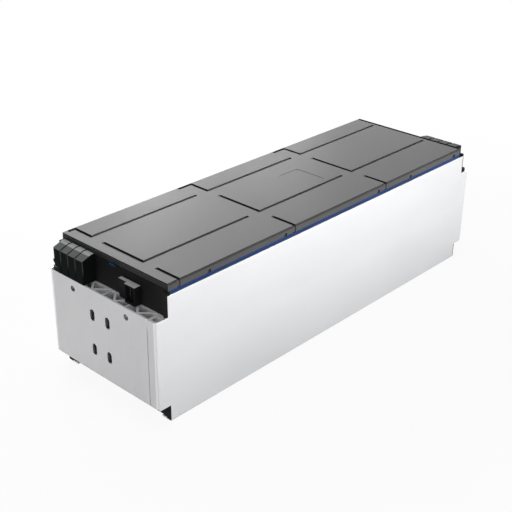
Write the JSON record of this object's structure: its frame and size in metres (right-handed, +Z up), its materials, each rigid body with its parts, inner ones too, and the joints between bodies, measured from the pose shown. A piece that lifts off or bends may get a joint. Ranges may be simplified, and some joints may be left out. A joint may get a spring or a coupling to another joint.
{
  "type": "sodium-ion battery module",
  "caption": "Long box-shaped battery module: prismatic cells between hollow aluminium end plates and welded side plates, with a black grooved cover, capped terminals and a signal socket.",
  "frame": {"origin": "centre of the underside, on the plane of the side plates' feet", "axes": "+X along the cell stack to the far end, +Y across to the left side, +Z up; the signal connector is at the -X end"},
  "size_m": [0.5404, 0.166, 0.157],
  "materials": {
    "end_plate": "satin mill finish",
    "side_plate": "bright satin",
    "blue_film": "smooth film",
    "clear_film": "thin insulating film",
    "insulator": "moulded, fine texture",
    "cell_can": "drawn can",
    "pad": "soft sheet",
    "tray": "moulded",
    "busbar": "rolled strip",
    "flex": "amber laminate",
    "sensor": "potted bead",
    "connector": "moulded",
    "pin": "plated",
    "terminal_base": "moulded",
    "nut": "zinc plated",
    "terminal_cover": "moulded, slight sheen",
    "cover": "moulded, fine texture"
  },
  "bodies": {
    "root": {"end_plate_front": "end_plate", "end_plate_rear": "end_plate", "side_plate_left": "side_plate", "side_plate_right": "side_plate", "side_film_left": "blue_film", "side_film_right": "blue_film", "bottom_film": "clear_film", "end_insulator_front": "insulator", "end_insulator_rear": "insulator", "cell_01": "cell_can", "cell_02": "cell_can", "cell_03": "cell_can", "cell_04": "cell_can", "cell_05": "cell_can", "cell_06": "cell_can", "cell_07": "cell_can", "cell_08": "cell_can", "cell_09": "cell_can", "cell_10": "cell_can", "cell_pad_01": "pad", "cell_pad_02": "pad", "cell_pad_03": "pad", "cell_pad_04": "pad", "cell_pad_05": "pad", "cell_pad_06": "pad", "cell_pad_07": "pad", "cell_pad_08": "pad", "cell_pad_09": "pad", "busbar_tray": "tray", "series_busbar_1": "busbar", "series_busbar_2": "busbar", "series_busbar_3": "busbar", "series_busbar_4": "busbar", "output_busbar_front": "busbar", "output_busbar_rear": "busbar", "sampling_flex": "flex", "temperature_sensors": "sensor", "signal_connector": "connector", "connector_pins": "pin", "terminal_base_front": "terminal_base", "terminal_base_rear": "terminal_base", "terminal_nut_front": "nut", "terminal_nut_rear": "nut", "terminal_cover_front": "terminal_cover", "terminal_cover_rear": "terminal_cover", "top_cover": "cover"}
  },
  "joints": []
}
